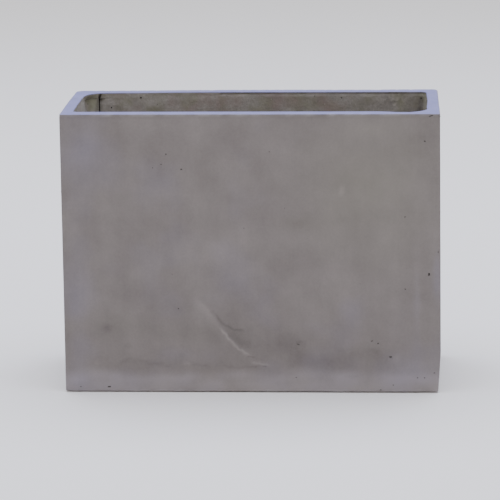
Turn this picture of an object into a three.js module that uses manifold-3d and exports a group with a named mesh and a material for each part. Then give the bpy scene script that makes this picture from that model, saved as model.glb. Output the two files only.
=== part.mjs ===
// A long rectangular trough planter in fibre-reinforced cement. Millimetres, +Z up, front towards -Y.
// The origin is on the ground, under the middle of the box.
//
// It is built up as such a planter is laid by hand in a mould. A fine face mix takes the mould's shape,
// and is carried over the wall tops as the rim. Inside it follow glass-fibre mesh, coarse backing
// lay-ups, corner fillets, a base slab and a bead of mortar round the floor. Each drain is a cast-in
// sleeve with a rubber plug that lifts out, and four rubber pads keep the box just off the ground.
import * as THREE from "three";
import { mergeVertices } from "three/addons/utils/BufferGeometryUtils.js";
import Module from "manifold-3d";

// Driving dimensions: the outside of the box
const LENGTH = 600; // along X
const DEPTH = 250; // along Y
const HEIGHT = 450; // from the ground to the rim

// Walls and floor, each a stack of layers
const END_WALL = 19;
const LONG_WALL = 24; // the long walls are thicker, because they span further
const FACE_COAT = 6;
const SHELL_FLOOR = 8;
const RIM = 9; // depth of the face mix over the wall tops
const MESH = 1;
const BASE_SLAB = 20;
const CLEARANCE = 0.3; // between pieces that lie against each other

// Corner radii in plan. The front corners come sharp from the mould and the back ones are eased.
const OUTER_CORNERS = { frontLeft: 3, frontRight: 3, backRight: 10, backLeft: 14 };
// Hand-laid fillets inside, wide in two opposite corners and tight in the other two
const INNER_CORNERS = { frontLeft: 10, frontRight: 28, backRight: 10, backLeft: 20 };
const SHARPEST_CORNER = 1;
const OPEN_JOINT = 3; // the unfilled joint beside the wide back fillet
const FLOOR_BEAD = 8; // radius of the bead round the floor, less than the tightest inner corner's
const BEAD_LIP = 0.6; // the bead's thickness at its thin top edge
const MESH_MARGIN = 8; // how far the mesh stops short of the edges of its wall

// Drains, one at each quarter of the length
const DRAIN_X = LENGTH / 4;
const SLEEVE_OUTER_R = 16;
const SLEEVE_BORE_R = 13.5;
const PLUG_SHANK = 16; // how deep the plug goes into its sleeve
const PLUG_TAPER = 1.2; // how much thinner its lower end is, on the radius
const PLUG_FLANGE_R = 20;
const PLUG_FLANGE = 4;
const PLUG_NECK_R = 5;
const PLUG_NECK = 7; // height of the neck between the flange and the knob
const PLUG_KNOB_R = 9;
const PLUG_KNOB = 11;
const PLUG_EDGE = 1; // chamfer on the plug's edges

// Foot pads, let into round seats in the underside
const PAD_R = 18;
const PAD = 3;
const PAD_PROUD = 1.5;
const PAD_INSET = 35; // from the outside of the box to a pad's centre

const ARC_STEPS = 4; // three.js doubles it, so each corner's quarter circle has eight flats
const ROUND_STEPS = 32; // flats round a full turned piece

// Levels, from the ground up
const shellBottom = PAD_PROUD;
const shellFloorTop = shellBottom + SHELL_FLOOR;
const floorMeshBottom = shellFloorTop + CLEARANCE;
const slabBottom = floorMeshBottom + MESH + CLEARANCE;
const slabTop = slabBottom + BASE_SLAB;
const wallFoot = slabTop + CLEARANCE;
const rimUnderside = HEIGHT - RIM;
const wallTop = rimUnderside - CLEARANCE;

// Plan rectangles, each { x, y, corners } with half lengths and corner radii
const outside = { x: LENGTH / 2, y: DEPTH / 2, corners: OUTER_CORNERS };
const pocket = inset(outside, FACE_COAT);
const slabPlan = inset(pocket, CLEARANCE);
const backingPlan = inset(slabPlan, MESH + CLEARANCE);
const opening = { x: outside.x - END_WALL, y: outside.y - LONG_WALL, corners: INNER_CORNERS };

const material = (color, roughness) => new THREE.MeshStandardMaterial({ color, roughness, metalness: 0 });
const faceCement = material(0x84807f, 0.82);
const backingCement = material(0x6f6a62, 0.95);
const filletMortar = material(0x767168, 0.95);
const glassMesh = material(0xe4e2d6, 0.6);
const sleevePlastic = material(0x8d8f90, 0.45);
const plugRubber = material(0x222223, 0.75);
const padRubber = material(0x2b2b2c, 0.85);

const wasm = await Module();
wasm.setup();

// A closed geometry as a solid for boolean work.
function solid(geometry) {
  const bare = geometry.index ? geometry.toNonIndexed() : geometry.clone();
  bare.deleteAttribute("normal");
  bare.deleteAttribute("uv");
  const merged = mergeVertices(bare, 1e-3);
  const vertProperties = merged.getAttribute("position").array;
  const triVerts = new Uint32Array(merged.index.array);
  return new wasm.Manifold(new wasm.Mesh({ numProp: 3, vertProperties, triVerts }));
}

// A solid back as a geometry.
function geometryOf(manifold) {
  const { vertProperties, triVerts } = manifold.getMesh();
  const geometry = new THREE.BufferGeometry();
  geometry.setAttribute("position", new THREE.BufferAttribute(vertProperties, 3));
  geometry.setIndex(new THREE.BufferAttribute(triVerts, 1));
  return geometry;
}

// The same plan rectangle, smaller by a distance all round.
function inset(plan, distance) {
  const corners = {};
  for (const [corner, radius] of Object.entries(plan.corners)) {
    corners[corner] = Math.max(radius - distance, SHARPEST_CORNER);
  }
  return { x: plan.x - distance, y: plan.y - distance, corners };
}

// A plan rectangle as a shape, with its four corner arcs.
function outline({ x, y, corners }) {
  const { frontLeft, frontRight, backRight, backLeft } = corners;
  const shape = new THREE.Shape();
  shape.absarc(-x + frontLeft, -y + frontLeft, frontLeft, Math.PI, 1.5 * Math.PI);
  shape.absarc(x - frontRight, -y + frontRight, frontRight, -0.5 * Math.PI, 0);
  shape.absarc(x - backRight, y - backRight, backRight, 0, 0.5 * Math.PI);
  shape.absarc(-x + backLeft, y - backLeft, backLeft, 0.5 * Math.PI, Math.PI);
  shape.closePath();
  return shape;
}

function prism(shape, bottom, top) {
  const depth = top - bottom;
  const geometry = new THREE.ExtrudeGeometry(shape, { depth, bevelEnabled: false, curveSegments: ARC_STEPS });
  return geometry.translate(0, 0, bottom);
}

// A cylinder that stands on Z, about the middle of its height.
function disc(radius, height) {
  return new THREE.CylinderGeometry(radius, radius, height, ROUND_STEPS).rotateX(Math.PI / 2);
}

// A round piece turned about Z from a profile of points, each a radius and a height.
function turned(profile) {
  return new THREE.LatheGeometry(profile, ROUND_STEPS).rotateX(Math.PI / 2);
}

// A plate with the two drain holes through it, each with room for its sleeve.
function withDrainHoles(plate) {
  let drilled = plate;
  for (const x of [-DRAIN_X, DRAIN_X]) {
    drilled = drilled.subtract(solid(disc(SLEEVE_OUTER_R + CLEARANCE, HEIGHT).translate(x, 0, 0)));
  }
  return drilled;
}

const padPlaces = {};
for (const [end, sx] of [["left", -1], ["right", 1]]) {
  for (const [side, sy] of [["front", -1], ["back", 1]]) {
    padPlaces[`${side}_${end}`] = [sx * (outside.x - PAD_INSET), sy * (outside.y - PAD_INSET)];
  }
}

// The fair-faced outer casting: floor, thin walls and the rim turned in over the lay-ups.
function faceShell() {
  const block = solid(prism(outline(outside), shellBottom, HEIGHT));
  const hollow = solid(prism(outline(pocket), shellFloorTop, rimUnderside));
  const mouth = solid(prism(outline(opening), shellFloorTop, 2 * HEIGHT));
  let shell = withDrainHoles(block.subtract(hollow).subtract(mouth));
  const seatDepth = PAD - PAD_PROUD + CLEARANCE;
  for (const [x, y] of Object.values(padPlaces)) {
    const seat = disc(PAD_R + CLEARANCE, 2 * seatDepth).translate(x, y, shellBottom);
    shell = shell.subtract(solid(seat));
  }
  return geometryOf(shell);
}

function baseSlab() {
  return geometryOf(withDrainHoles(solid(prism(outline(slabPlan), slabBottom, slabTop))));
}

function floorMesh() {
  const sheet = prism(outline(inset(slabPlan, MESH_MARGIN)), floorMeshBottom, floorMeshBottom + MESH);
  return geometryOf(withDrainHoles(solid(sheet)));
}

// The part of the wall lay-up that turns one inner corner, from one board's end to the next one's.
function cornerFillet(sx, sy, radius) {
  const ring = outline(backingPlan);
  ring.holes.push(outline(opening));
  const reachX = backingPlan.x - opening.x + radius;
  const reachY = backingPlan.y - opening.y + radius;
  const block = new THREE.BoxGeometry(reachX, reachY, 2 * HEIGHT);
  block.translate(sx * (backingPlan.x - reachX / 2), sy * (backingPlan.y - reachY / 2), 0);
  return geometryOf(solid(prism(ring, wallFoot, wallTop)).intersect(solid(block)));
}

// The trowelled bead round the floor: a ring whose inner side is a hollow quarter round.
function floorBead() {
  const foot = inset(opening, CLEARANCE);
  const ring = solid(prism(outline(foot), wallFoot, wallFoot + FLOOR_BEAD));
  const hollow = new THREE.ExtrudeGeometry(outline(inset(foot, BEAD_LIP)), {
    depth: 2 * FLOOR_BEAD,
    bevelThickness: FLOOR_BEAD,
    bevelSize: FLOOR_BEAD,
    bevelOffset: -FLOOR_BEAD,
    bevelSegments: 5,
    curveSegments: ARC_STEPS,
  });
  // The hollow's rounded lower end runs just below the foot of the ring, to open the ring right through.
  hollow.translate(0, 0, wallFoot + FLOOR_BEAD - BEAD_LIP);
  return geometryOf(ring.subtract(solid(hollow)));
}

// A straight tube through the shell's floor and the base slab.
function drainSleeve() {
  const profile = [
    new THREE.Vector2(SLEEVE_BORE_R, shellBottom),
    new THREE.Vector2(SLEEVE_OUTER_R, shellBottom),
    new THREE.Vector2(SLEEVE_OUTER_R, slabTop),
    new THREE.Vector2(SLEEVE_BORE_R, slabTop),
    new THREE.Vector2(SLEEVE_BORE_R, shellBottom),
  ];
  return turned(profile);
}

// The rubber plug: a tapered shank, a flange, and a neck with a knob to lift it by.
function drainPlug() {
  const shankR = SLEEVE_BORE_R - CLEARANCE;
  const tipR = shankR - PLUG_TAPER;
  const knobFoot = PLUG_FLANGE + PLUG_NECK;
  const knobTop = knobFoot + PLUG_KNOB;
  const profile = new THREE.Path();
  profile.moveTo(0, -PLUG_SHANK);
  profile.lineTo(tipR - PLUG_EDGE, -PLUG_SHANK);
  profile.lineTo(tipR, -PLUG_SHANK + PLUG_EDGE);
  profile.lineTo(shankR, 0);
  profile.lineTo(PLUG_FLANGE_R, 0);
  profile.lineTo(PLUG_FLANGE_R, PLUG_FLANGE - PLUG_EDGE);
  profile.lineTo(PLUG_FLANGE_R - PLUG_EDGE, PLUG_FLANGE);
  profile.lineTo(PLUG_NECK_R, PLUG_FLANGE);
  profile.lineTo(PLUG_NECK_R, knobFoot);
  profile.quadraticCurveTo(PLUG_KNOB_R, knobFoot, PLUG_KNOB_R, knobFoot + PLUG_KNOB / 2);
  profile.quadraticCurveTo(PLUG_KNOB_R, knobTop, 0, knobTop);
  return turned(profile.getPoints(ARC_STEPS));
}

const planter = new THREE.Group();

function add(name, geometry, finish, x = 0, y = 0, z = 0) {
  const mesh = new THREE.Mesh(geometry, finish);
  mesh.name = name;
  mesh.position.set(x, y, z);
  planter.add(mesh);
}

add("face_shell", faceShell(), faceCement);
add("base_slab", baseSlab(), backingCement);
add("floor_bead", floorBead(), filletMortar);
for (const [end, sx] of [["left", -1], ["right", 1]]) {
  for (const [side, sy] of [["front", -1], ["back", 1]]) {
    const radius = INNER_CORNERS[side + (sx < 0 ? "Left" : "Right")];
    add(`corner_fillet_${side}_${end}`, cornerFillet(sx, sy, radius), filletMortar);
  }
}

// Wall lay-ups, each from one corner fillet to the next, and the mesh sheets behind them
const layupHeight = wallTop - wallFoot;
const layupMiddle = (wallTop + wallFoot) / 2;
const sheetHeight = layupHeight - 2 * MESH_MARGIN;
for (const [side, sy] of [["front", -1], ["back", 1]]) {
  const leftJoint = side === "back" ? OPEN_JOINT : CLEARANCE;
  const left = -opening.x + INNER_CORNERS[`${side}Left`] + leftJoint;
  const right = opening.x - INNER_CORNERS[`${side}Right`] - CLEARANCE;
  const thick = backingPlan.y - opening.y;
  const layup = new THREE.BoxGeometry(right - left, thick, layupHeight);
  add(`backing_${side}`, layup, backingCement, (left + right) / 2, sy * (opening.y + thick / 2), layupMiddle);
  const sheet = new THREE.BoxGeometry(2 * (backingPlan.x - MESH_MARGIN), MESH, sheetHeight);
  add(`glass_mesh_${side}`, sheet, glassMesh, 0, sy * (slabPlan.y - MESH / 2), layupMiddle);
}
for (const [end, sx] of [["left", -1], ["right", 1]]) {
  const corner = sx < 0 ? "Left" : "Right";
  const front = -opening.y + INNER_CORNERS[`front${corner}`] + CLEARANCE;
  const back = opening.y - INNER_CORNERS[`back${corner}`] - CLEARANCE;
  const thick = backingPlan.x - opening.x;
  const layup = new THREE.BoxGeometry(thick, back - front, layupHeight);
  add(`backing_${end}`, layup, backingCement, sx * (opening.x + thick / 2), (front + back) / 2, layupMiddle);
  const sheet = new THREE.BoxGeometry(MESH, 2 * (backingPlan.y - MESH_MARGIN), sheetHeight);
  add(`glass_mesh_${end}`, sheet, glassMesh, sx * (slabPlan.x - MESH / 2), 0, layupMiddle);
}
add("glass_mesh_floor", floorMesh(), glassMesh);

for (const [end, sx] of [["left", -1], ["right", 1]]) {
  add(`drain_sleeve_${end}`, drainSleeve(), sleevePlastic, sx * DRAIN_X);
  add(`drain_plug_${end}`, drainPlug(), plugRubber, sx * DRAIN_X, 0, slabTop + CLEARANCE);
}

for (const [place, [x, y]] of Object.entries(padPlaces)) {
  add(`foot_pad_${place}`, disc(PAD_R, PAD), padRubber, x, y, PAD / 2);
}

export default planter;
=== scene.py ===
# %% [markdown]
# # A hand-laid fibre-cement trough planter
#
# The planter is a long box of grey cement, stiffened with glass fibre and laid by hand in a mould. Its
# outside takes the mould's fair face, and its inside keeps the marks of the trowel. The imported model
# already fixes every size and place, so this notebook makes the surfaces that the eye meets: the cast face
# and its rim, the rough lay-ups and floor inside, and the rubber and plastic of the drains and feet. Its
# last cells set the stage.

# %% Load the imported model
import math
import random

import bmesh
import bpy
from mathutils import Matrix, Vector, noise


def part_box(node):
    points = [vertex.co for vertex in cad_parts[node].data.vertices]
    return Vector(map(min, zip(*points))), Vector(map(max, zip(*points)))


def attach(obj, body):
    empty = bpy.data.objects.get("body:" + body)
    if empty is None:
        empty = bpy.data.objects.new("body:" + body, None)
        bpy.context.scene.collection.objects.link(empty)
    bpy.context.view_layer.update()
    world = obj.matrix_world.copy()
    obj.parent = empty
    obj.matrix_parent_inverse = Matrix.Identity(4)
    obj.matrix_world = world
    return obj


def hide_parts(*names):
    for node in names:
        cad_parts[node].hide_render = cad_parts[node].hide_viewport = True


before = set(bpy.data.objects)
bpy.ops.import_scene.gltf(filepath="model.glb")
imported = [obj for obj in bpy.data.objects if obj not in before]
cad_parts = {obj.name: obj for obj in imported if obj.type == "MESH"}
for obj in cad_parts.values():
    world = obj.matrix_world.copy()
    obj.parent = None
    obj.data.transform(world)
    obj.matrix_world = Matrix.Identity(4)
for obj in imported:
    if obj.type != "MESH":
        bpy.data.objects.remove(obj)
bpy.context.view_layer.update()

# %% [markdown]
# ## Sizes
#
# Blender works in metres and a maker thinks in millimetres, so one constant turns the one into the other.
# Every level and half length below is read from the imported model, and nothing is measured twice.

# %% Read the sizes
MM = 0.001

shell_low, shell_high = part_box("face_shell")
board_low, board_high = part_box("backing_back")
HALF_LENGTH = shell_high.x
HALF_DEPTH = shell_high.y
UNDERSIDE = shell_low.z
RIM = shell_high.z
MOUTH_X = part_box("backing_right")[0].x
MOUTH_Y = board_low.y
LAY_UP_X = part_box("backing_right")[1].x
LAY_UP_Y = board_high.y
LAY_UP_FOOT = board_low.z
LAY_UP_TOP = board_high.z
GAP = 0.3 * MM  # between pieces that lie against each other
print(f"outside {2000 * HALF_LENGTH:.0f} x {2000 * HALF_DEPTH:.0f} x {1000 * RIM:.0f} mm")
print(f"mouth {2000 * MOUTH_X:.0f} x {2000 * MOUTH_Y:.0f} mm")

# %% [markdown]
# ## Small helpers
#
# A piece is modelled in a bmesh, which is Blender's editable mesh. `make_piece` turns a finished bmesh into
# an object at the origin, joins it to its body, and hides the nodes of the imported model that it stands for.
# Faces are shaded smooth, and edges that turn by more than a given angle stay crisp.
#
# Four numbers are painted on the points of each cement piece, and its material reads them: `tone` for paler
# or darker, which also carries painted light and shadow; `cool` for bluer or warmer, which also carries the
# painted cool skylight on the rim; one for painted shade in holes, cracks, the open joint and under the back
# of the rim; and one for rubbed edges on the cast face and painted light on the rough inside.

# %% Start a bmesh, and turn it into a piece
CRISP_TURN = math.radians(40)
MERGE = 0.01 * MM  # points closer than this are made one
PAINTED = ("tone", "cool", "painted_shade", "wear_and_painted_light")


def new_shape():
    """An empty bmesh with its painted numbers, which must be there before its first point is."""
    shape = bmesh.new()
    for name in PAINTED:
        shape.verts.layers.float.new(name)
    return shape


def painted_layers(shape, *names):
    return [shape.verts.layers.float[name] for name in names]


def make_piece(name, shape, finishes, replaced, body="planter"):
    for face in shape.faces:
        face.smooth = True
    for edge in shape.edges:
        edge.smooth = edge.calc_face_angle(0) < CRISP_TURN
    mesh = bpy.data.meshes.new(name)
    shape.to_mesh(mesh)
    shape.free()
    for finish in finishes:
        mesh.materials.append(finish)
    piece = bpy.data.objects.new(name, mesh)
    bpy.context.scene.collection.objects.link(piece)
    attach(piece, body)
    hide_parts(*replaced)
    print(f"{name}: {len(mesh.polygons)} faces")


# %% [markdown]
# A material is a small network of nodes. `add_node` adds one node, sets its properties, and gives each of
# its inputs a value or a link. `linear` turns a colour as a painter would name it, in hex, into the linear
# light that the shader wants. `per` turns a size in millimetres into the scale of a pattern.

# %% Node and colour helpers
def add_node(tree, kind, inputs=(), **properties):
    made = tree.nodes.new(kind)
    for name, value in properties.items():
        setattr(made, name, value)
    for socket, value in dict(inputs).items():
        if isinstance(value, bpy.types.NodeSocket):
            tree.links.new(value, made.inputs[socket])
        else:
            made.inputs[socket].default_value = value
    return made


def linear(hex_colour):
    channels = [int(hex_colour[i : i + 2], 16) / 255 for i in (1, 3, 5)]
    return [c / 12.92 if c <= 0.04045 else ((c + 0.055) / 1.055) ** 2.4 for c in channels] + [1.0]


def per(millimetres):
    return 1 / (millimetres * MM)


# %% [markdown]
# Both cements are scattered with small things: sand grains, pinholes, voids. Each kind sits in some of the
# cells of a loose net, at a given radius, and is mixed over the colour so far. The dark of a pinhole or a
# void is painted shade. One function serves them all, because only the sizes and colours differ.

# %% Scatter specks over a colour
def scatter(tree, place, colour, speck_hex, net_mm, radius_mm, share, shift):
    """Mixes specks over a colour, and gives back the new colour and where the specks are."""
    moved = add_node(tree, "ShaderNodeMapping", {"Vector": place, "Location": (shift, shift, shift)})
    net = add_node(
        tree, "ShaderNodeTexVoronoi", {"Vector": moved.outputs["Vector"], "Scale": per(net_mm)}
    )
    edge = {"From Min": radius_mm / net_mm, "From Max": 0.5 * radius_mm / net_mm}
    near = add_node(tree, "ShaderNodeMapRange", {"Value": net.outputs["Distance"], **edge})
    picked = add_node(
        tree, "ShaderNodeMath", {0: net.outputs["Color"], 1: 1 - share}, operation="GREATER_THAN"
    )
    speck = add_node(
        tree, "ShaderNodeMath", {0: near.outputs["Result"], 1: picked.outputs[0]}, operation="MULTIPLY"
    ).outputs[0]
    mixed = add_node(
        tree, "ShaderNodeMix", {"Factor": speck, 6: colour, 7: linear(speck_hex)}, data_type="RGBA"
    )
    return mixed.outputs[2], speck


# %% [markdown]
# ## The camera
#
# The planter is seen from the front with a long lens, a little from above and from the right of its middle,
# as a catalogue shows such a box. The long lens keeps its upright edges nearly parallel. It comes first, so
# that each piece can be judged in the same view.

# %% Place the camera
CAMERA_PLACE = Vector((0.211, -4.248, 1.1255))
CAMERA_YAW = math.radians(2.96)
CAMERA_PITCH = math.radians(12.20)
CAMERA_ROLL = math.radians(-0.58)

camera = bpy.data.objects.new("camera", bpy.data.cameras.new("camera"))
camera.data.sensor_width = 36
camera.data.lens = 192.9
camera.data.clip_end = 100
turned = Matrix.Rotation(CAMERA_YAW, 4, "Z") @ Matrix.Rotation(math.pi / 2 - CAMERA_PITCH, 4, "X")
turned = turned @ Matrix.Rotation(CAMERA_ROLL, 4, "Z")
camera.matrix_world = Matrix.Translation(CAMERA_PLACE) @ turned
bpy.context.scene.collection.objects.link(camera)
bpy.context.scene.camera = camera
print("camera", round(CAMERA_PLACE.length, 2), "m from the planter's foot")

# %% [markdown]
# ## Fine-mix cement, cast against a mould
#
# The outside is a fine cement mix that set against a smooth mould. It is a mid grey with a matt skin. Slow
# drying leaves cloudy light and dark patches some centimetres across and faint upright runs, the hue
# wanders between lilac and olive, the fine sand shows as a faint grain, and trapped air leaves scattered
# pinholes. The material lays these over each other as noise, each at its real size, and the painted numbers
# steer it where a patch belongs to one place. The grain is drawn at 3 mm, where real sand is under 1 mm, so
# that it shows at all.

# %% Cast cement: how pale
CAST_DARK = "#5e5856"
CAST_PALE = "#8b8481"
# The width of a cloudy patch, of a run and of a sand grain, in millimetres
CLOUD_MM = 60
RUN_MM = 11
SAND_MM = 3
cast_cement = bpy.data.materials.new("cast_fine_cement")
cast_cement.use_nodes = True
tree = cast_cement.node_tree
place = add_node(tree, "ShaderNodeTexCoord").outputs["Object"]
tone, cool, painted_shade, wear_and_painted_light = [
    add_node(tree, "ShaderNodeAttribute", attribute_name=name).outputs["Fac"] for name in PAINTED
]
upright = add_node(tree, "ShaderNodeMapping", {"Vector": place, "Scale": (1, 1, 0.12)}).outputs["Vector"]
cloud = add_node(
    tree, "ShaderNodeTexNoise", {"Vector": place, "Scale": per(CLOUD_MM), "Detail": 6, "Roughness": 0.55}
).outputs["Fac"]
runs = add_node(
    tree, "ShaderNodeTexNoise", {"Vector": upright, "Scale": per(RUN_MM), "Detail": 4, "Roughness": 0.6}
).outputs["Fac"]
grain = add_node(
    tree, "ShaderNodeTexNoise", {"Vector": place, "Scale": per(SAND_MM), "Detail": 3, "Roughness": 0.65}
).outputs["Fac"]
pale = add_node(
    tree, "ShaderNodeMath", {0: tone, 1: 0.3, 2: -0.06}, operation="MULTIPLY_ADD"
).outputs[0]
for layer, share in ((cloud, 0.65), (runs, 0.15), (grain, 0.3)):
    more = {0: layer, 1: share, 2: pale}
    pale = add_node(tree, "ShaderNodeMath", more, operation="MULTIPLY_ADD").outputs[0]
colour = add_node(
    tree,
    "ShaderNodeMix",
    {"Factor": pale, 6: linear(CAST_DARK), 7: linear(CAST_PALE)},
    data_type="RGBA",
    clamp_factor=True,
).outputs[2]

# %% Cast cement: its hue, its worn edges and its holes
# The cool tint gives the face its bluish hue and, on the rim, painted cool skylight; the warm one is damp
# cement
CAST_COOL = "#878ac5"
CAST_WARM = "#7d7b6c"
CAST_WORN = "#a3a0a2"
# The colour of the painted shade inside holes
PIT_SHADE = "#3f3a38"
SAND_PALE = "#9d9a97"
SAND_DARK = "#544f4d"
HUE_DRIFT_MM = 90
wander = add_node(
    tree, "ShaderNodeTexNoise", {"Vector": place, "Scale": per(HUE_DRIFT_MM), "Detail": 2}
).outputs["Fac"]
# A slow noise and the painted `cool` number bring each tint in
hue = add_node(tree, "ShaderNodeMath", {0: wander, 1: 0.45, 2: cool}, operation="MULTIPLY_ADD").outputs[0]
for tint, none_at, full_at in ((CAST_COOL, 0.22, 1.7), (CAST_WARM, 0.22, -1.0)):
    reach = {"From Min": none_at, "From Max": full_at, "To Max": 0.6}
    amount = add_node(tree, "ShaderNodeMapRange", {"Value": hue, **reach}).outputs["Result"]
    colour = add_node(
        tree, "ShaderNodeMix", {"Factor": amount, 6: colour, 7: linear(tint)}, data_type="RGBA"
    ).outputs[2]
colour = add_node(
    tree, "ShaderNodeMix", {"Factor": wear_and_painted_light, 6: colour, 7: linear(CAST_WORN)}, data_type="RGBA"
).outputs[2]
colour = scatter(tree, place, colour, SAND_PALE, net_mm=12, radius_mm=0.8, share=0.12, shift=0.3)[0]
colour = scatter(tree, place, colour, SAND_DARK, net_mm=14, radius_mm=0.8, share=0.12, shift=0.7)[0]
# The dark of each pinhole is painted shade
colour, pinhole = scatter(tree, place, colour, PIT_SHADE, net_mm=30, radius_mm=0.9, share=0.22, shift=0.0)
# Painted shade in the pressed pinholes
colour = add_node(
    tree, "ShaderNodeMix", {"Factor": painted_shade, 6: colour, 7: linear(PIT_SHADE)}, data_type="RGBA"
).outputs[2]

# %% Cast cement: its skin
roughness = add_node(
    tree, "ShaderNodeMapRange", {"Value": cloud, "To Min": 0.9, "To Max": 0.72}
).outputs["Result"]
grain_bump = add_node(
    tree, "ShaderNodeBump", {"Height": grain, "Strength": 0.45, "Distance": 0.3 * MM}
).outputs["Normal"]
hole_bump = add_node(
    tree,
    "ShaderNodeBump",
    {"Height": pinhole, "Strength": 1.0, "Distance": 0.5 * MM, "Normal": grain_bump},
    invert=True,
).outputs["Normal"]
shader = tree.nodes["Principled BSDF"]
tree.links.new(colour, shader.inputs["Base Color"])
tree.links.new(roughness, shader.inputs["Roughness"])
tree.links.new(hole_bump, shader.inputs["Normal"])
shader.inputs["IOR"].default_value = 1.5
print("made", cast_cement.name, "with", len(tree.nodes), "nodes")

# %% [markdown]
# ## Coarse backing cement, laid by hand
#
# Inside, a coarser and browner mix was pressed on by hand and struck off with a trowel. It never touched
# the mould, so it dried rough and open. It has lumps, drag marks, small voids and pale grit, with rose and
# olive stains where damp soil stood; the dark of the voids is painted shade. The same kind of network
# makes it, with stronger relief and two stains that cross each other. Painted light, a pale olive, is laid
# on the right end wall and beside the open joint at the left, with the number that marks rubbed edges on
# the cast face.

# %% Backing cement: colour
LAID_DARK = "#6b6662"
LAID_PALE = "#ada7a0"
STAIN_ROSE = "#8c7c77"
STAIN_OLIVE = "#7c7a66"
VOID_SHADE = "#3b3632"
GRIT_PALE = "#b8b3aa"
# The pale olive of the painted light inside
PAINTED_LIGHT_OLIVE = "#c0c0ad"
# The width of a lump and of a grain of the coarse mix, in millimetres
LUMP_MM = 24
GRIT_MM = 4
laid_cement = bpy.data.materials.new("laid_coarse_cement")
laid_cement.use_nodes = True
tree = laid_cement.node_tree
place = add_node(tree, "ShaderNodeTexCoord").outputs["Object"]
tone, painted_shade, wear_and_painted_light = [
    add_node(tree, "ShaderNodeAttribute", attribute_name=name).outputs["Fac"]
    for name in ("tone", "painted_shade", "wear_and_painted_light")
]
cloud = add_node(
    tree, "ShaderNodeTexNoise", {"Vector": place, "Scale": per(LUMP_MM), "Detail": 6, "Roughness": 0.6}
).outputs["Fac"]
grain = add_node(
    tree, "ShaderNodeTexNoise", {"Vector": place, "Scale": per(GRIT_MM), "Detail": 4, "Roughness": 0.75}
).outputs["Fac"]
pale = add_node(
    tree, "ShaderNodeMath", {0: tone, 1: 0.4, 2: -0.15}, operation="MULTIPLY_ADD"
).outputs[0]
for layer, share in ((cloud, 0.5), (grain, 0.8)):
    more = {0: layer, 1: share, 2: pale}
    pale = add_node(tree, "ShaderNodeMath", more, operation="MULTIPLY_ADD").outputs[0]
colour = add_node(
    tree,
    "ShaderNodeMix",
    {"Factor": pale, 6: linear(LAID_DARK), 7: linear(LAID_PALE)},
    data_type="RGBA",
    clamp_factor=True,
).outputs[2]
for stain, size_mm, shift in ((STAIN_ROSE, 45, 3.1), (STAIN_OLIVE, 38, 7.7)):
    moved = add_node(
        tree, "ShaderNodeMapping", {"Vector": place, "Location": (shift, shift, shift)}
    ).outputs["Vector"]
    patch = add_node(
        tree, "ShaderNodeTexNoise", {"Vector": moved, "Scale": per(size_mm), "Detail": 3}
    ).outputs["Fac"]
    amount = add_node(
        tree, "ShaderNodeMapRange", {"Value": patch, "From Min": 0.5, "From Max": 0.72, "To Max": 0.8}
    ).outputs["Result"]
    colour = add_node(
        tree, "ShaderNodeMix", {"Factor": amount, 6: colour, 7: linear(stain)}, data_type="RGBA"
    ).outputs[2]
# Painted light on the right end wall and beside the open joint
colour = add_node(
    tree, "ShaderNodeMix", {"Factor": wear_and_painted_light, 6: colour, 7: linear(PAINTED_LIGHT_OLIVE)}, data_type="RGBA"
).outputs[2]
colour = scatter(tree, place, colour, GRIT_PALE, net_mm=8, radius_mm=1.2, share=0.25, shift=0.2)[0]
# The dark of the small and the larger voids is painted shade
colour = scatter(tree, place, colour, VOID_SHADE, net_mm=8, radius_mm=1.2, share=0.25, shift=0.9)[0]
colour, void = scatter(tree, place, colour, VOID_SHADE, net_mm=21, radius_mm=1.6, share=0.3, shift=0.0)
# Painted shade in the crack, the open joint, the crumbled spot and under the back of the rim
colour = add_node(
    tree, "ShaderNodeMix", {"Factor": painted_shade, 6: colour, 7: linear(VOID_SHADE)}, data_type="RGBA"
).outputs[2]

# %% Backing cement: relief
cloud_bump = add_node(
    tree, "ShaderNodeBump", {"Height": cloud, "Strength": 0.7, "Distance": 2 * MM}
).outputs["Normal"]
grain_bump = add_node(
    tree, "ShaderNodeBump", {"Height": grain, "Strength": 0.8, "Distance": 0.8 * MM, "Normal": cloud_bump}
).outputs["Normal"]
void_bump = add_node(
    tree,
    "ShaderNodeBump",
    {"Height": void, "Strength": 1.0, "Distance": 1.5 * MM, "Normal": grain_bump},
    invert=True,
).outputs["Normal"]
shader = tree.nodes["Principled BSDF"]
tree.links.new(colour, shader.inputs["Base Color"])
tree.links.new(void_bump, shader.inputs["Normal"])
shader.inputs["Roughness"].default_value = 0.95
shader.inputs["IOR"].default_value = 1.5
print("made", laid_cement.name, "with", len(tree.nodes), "nodes")

# %% [markdown]
# ## The cast shell: rings from a plan
#
# The shell is one casting: underside, four walls, a flat rim, and a short lip that turns down inside the
# mouth. A real mould gives it that outline all at once. Here one closed ring of points follows the plan,
# with a rounded corner at each end of every side. Each next ring is a little higher or further in, and each
# is bridged to the one before. Rings are better than a box with a bevel, because the outer and inner
# corners all have different radii.

# %% Rings of points round a plan
GRID = 4 * MM
ARC_STEPS = 12
SIDE_STEPS = (round(2 * HALF_LENGTH / GRID), round(2 * HALF_DEPTH / GRID))
SHARPEST = 1 * MM  # the smallest radius that an inset corner keeps
# The corners, from the front left one anticlockwise
CORNERS = ("front_left", "front_right", "back_right", "back_left")
CORNER_SIGNS = [(-1, -1), (1, -1), (1, 1), (-1, 1)]
OUTER_RADII = [3 * MM, 3 * MM, 10 * MM, 14 * MM]


def mouth_radius(corner):
    low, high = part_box(f"corner_fillet_{corner}")
    return MOUTH_X - min(abs(low.x), abs(high.x))


MOUTH_RADII = [mouth_radius(corner) for corner in CORNERS]


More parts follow.
